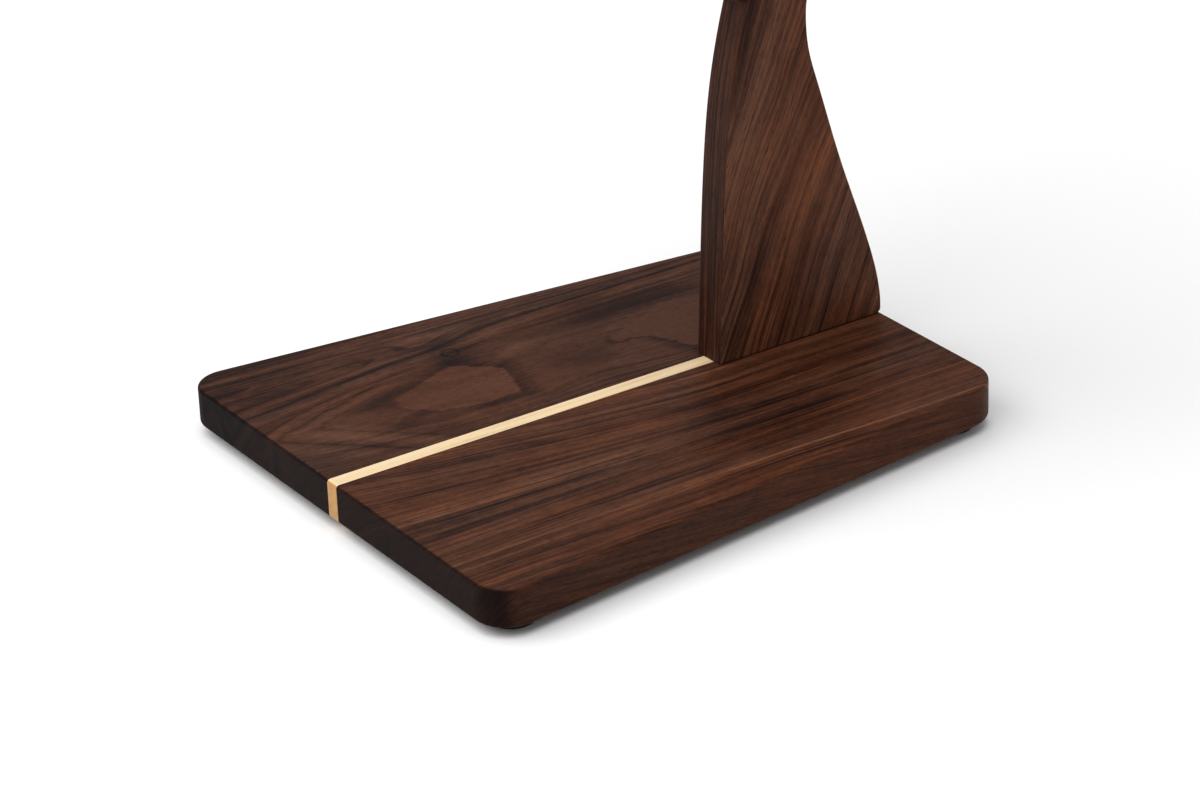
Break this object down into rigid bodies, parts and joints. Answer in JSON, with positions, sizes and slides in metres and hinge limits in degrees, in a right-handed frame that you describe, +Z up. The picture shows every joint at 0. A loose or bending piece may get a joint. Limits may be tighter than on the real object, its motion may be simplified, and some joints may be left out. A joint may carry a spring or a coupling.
{
  "type": "photo album stand",
  "caption": "Table stand for a photo album: a flat tapered base with an inlaid strip, a curved post on edge, and a leaning rest with a ledge and a lip.",
  "frame": {"origin": "on the surface that the feet stand on, under the middle of the base", "axes": "+Z up; -Y the front, where the ledge and the free end of the strip are; +X to the right as seen by someone facing the front"},
  "size_m": [0.2632, 0.2964, 0.4355],
  "materials": {
    "walnut": "dark walnut, satin oil finish",
    "maple": "pale maple, satin oil finish",
    "beech": "bare turned hardwood dowel",
    "leather": "thin dark brown leather, matt",
    "rubber": "moulded black rubber, matt",
    "steel": "zinc-plated steel"
  },
  "bodies": {
    "root": {"base_board_left": "walnut", "base_strip": "maple", "base_board_right": "walnut", "post": "walnut", "post_screws": "steel", "post_dowels": "beech", "foot_washers": "steel", "foot_screws": "steel", "foot_front_left": "rubber", "foot_front_right": "rubber", "foot_back_left": "rubber", "foot_back_right": "rubber", "panel_board_left": "walnut", "panel_strip": "maple", "panel_board_right": "walnut", "lower_batten": "walnut", "upper_batten": "walnut", "panel_screws": "steel", "batten_screws": "steel", "ledge": "walnut", "ledge_lip": "walnut", "ledge_pad": "leather", "ledge_screws": "steel", "lip_dowels": "beech", "ledge_bracket": "walnut", "bracket_dowels": "beech", "bracket_screws": "steel"}
  },
  "joints": []
}
